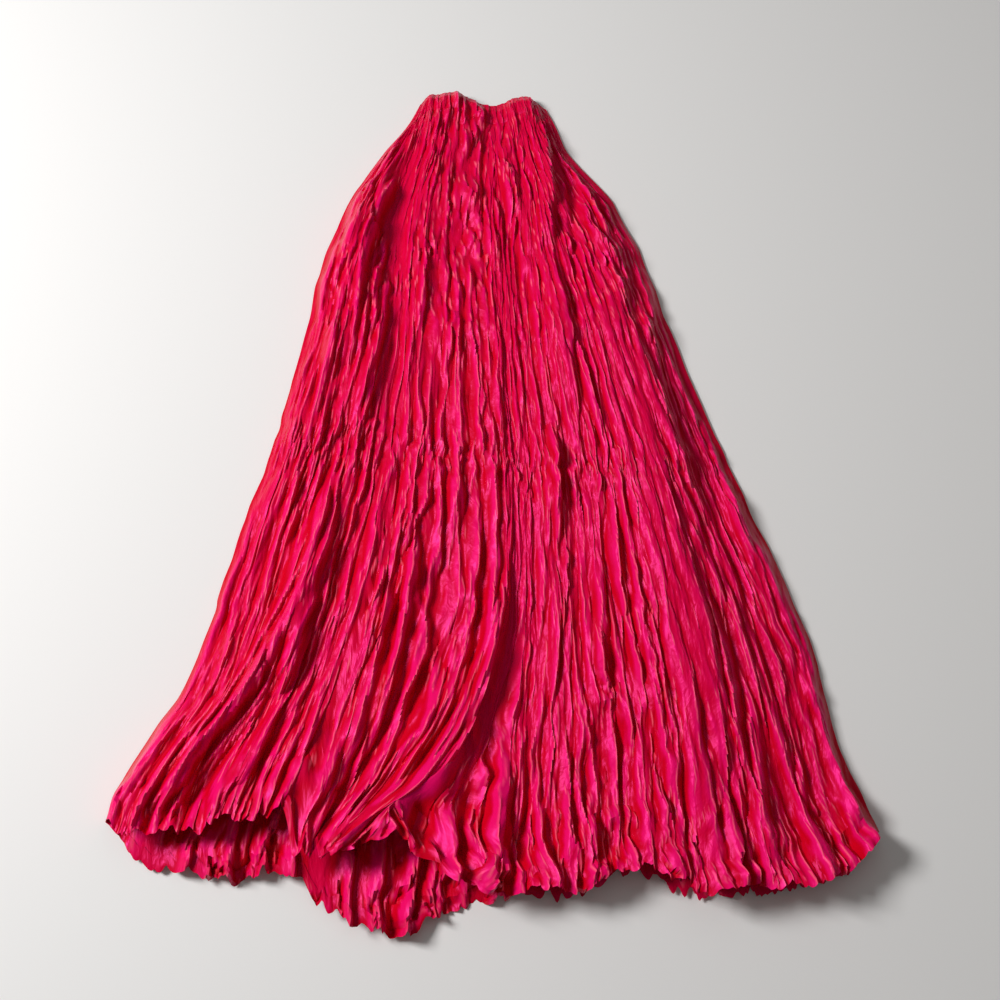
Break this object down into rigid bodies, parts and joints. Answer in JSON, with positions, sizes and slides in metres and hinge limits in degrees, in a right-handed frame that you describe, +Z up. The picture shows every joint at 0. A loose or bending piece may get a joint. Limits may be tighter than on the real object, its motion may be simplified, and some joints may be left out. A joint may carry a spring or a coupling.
{
  "type": "pleated maxi skirt",
  "caption": "Long crinkle pleated satin skirt, laid flat: gathered elastic waistband, front panel on back panel, fanned out to an uneven, partly lifted hem.",
  "frame": {"origin": "on the surface it lies on, under the middle of the laid-out skirt", "axes": "+Z up off the surface, +Y from hem to waist, +X to the right seen from above with the waist away from the viewer"},
  "size_m": [0.8, 1.0072, 0.0543],
  "materials": {
    "satin": "crinkled satin, soft silky sheen",
    "satin_inside": "inside of the satin at the turned hems, a little duller"
  },
  "bodies": {
    "root": {"panel_front": "satin", "panel_back": "satin", "waistband_front": "satin", "waistband_back": "satin", "hem_front": "satin_inside", "hem_back": "satin_inside"}
  },
  "joints": []
}
